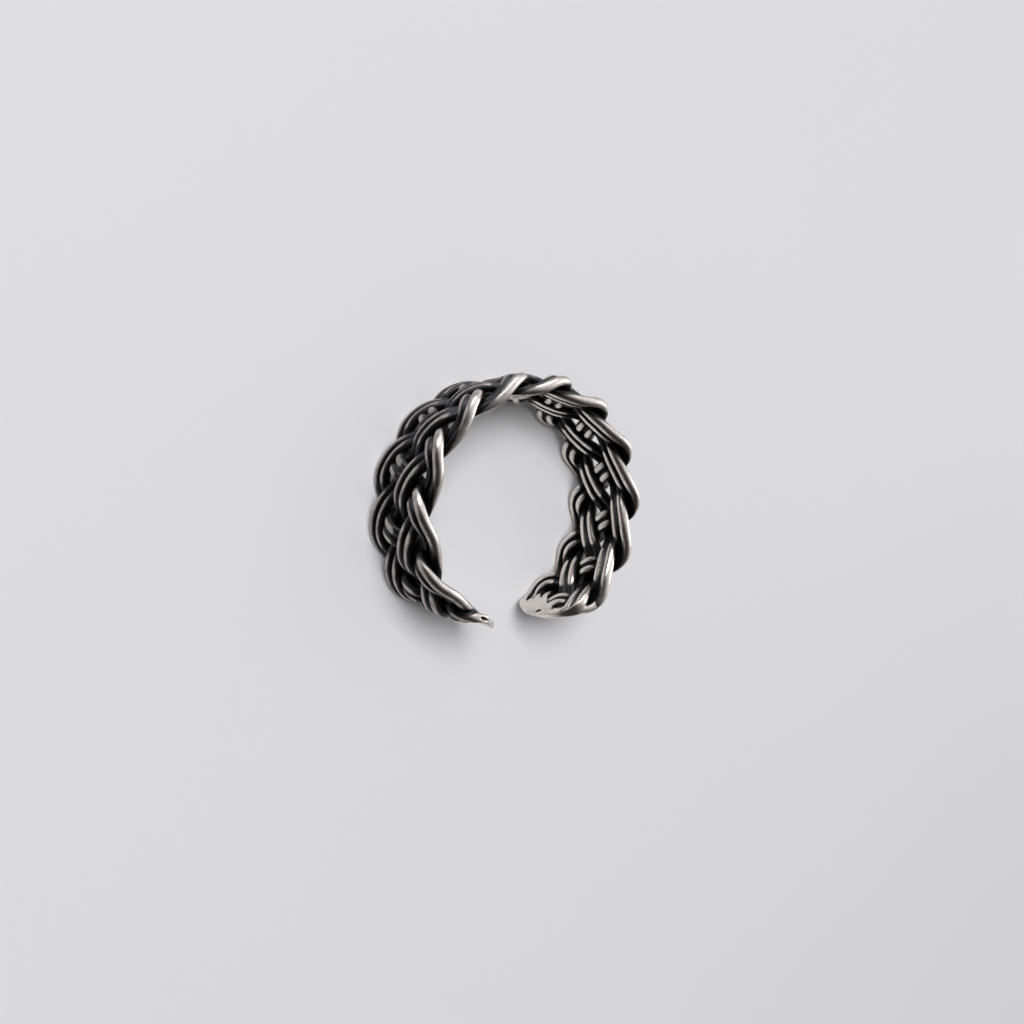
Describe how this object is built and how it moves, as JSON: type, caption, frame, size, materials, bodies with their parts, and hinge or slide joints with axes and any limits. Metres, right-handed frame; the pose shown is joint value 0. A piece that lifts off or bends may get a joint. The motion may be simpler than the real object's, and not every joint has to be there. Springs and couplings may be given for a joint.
{
  "type": "braided band ring",
  "caption": "Open finger ring: a flat plaited band of paired round silver wires, with soldered and flattened ends.",
  "frame": {"origin": "on the surface the ring lies on, under the middle of its box", "axes": "+Z along the finger, from the band's far edge up to its near edge; -Y towards the gap between the two ends; +X towards the right end as the picture shows it"},
  "size_m": [0.0224, 0.0206, 0.0088],
  "materials": {
    "silver": "blackened silver, polished where the wires stand out",
    "solder": "bright filed silver, dark in its pits and grooves"
  },
  "bodies": {
    "root": {"strand_1": "silver", "strand_2": "silver", "strand_3": "silver", "strand_4": "silver", "strand_5": "silver", "tip_left": "solder", "tip_right": "solder"}
  },
  "joints": []
}
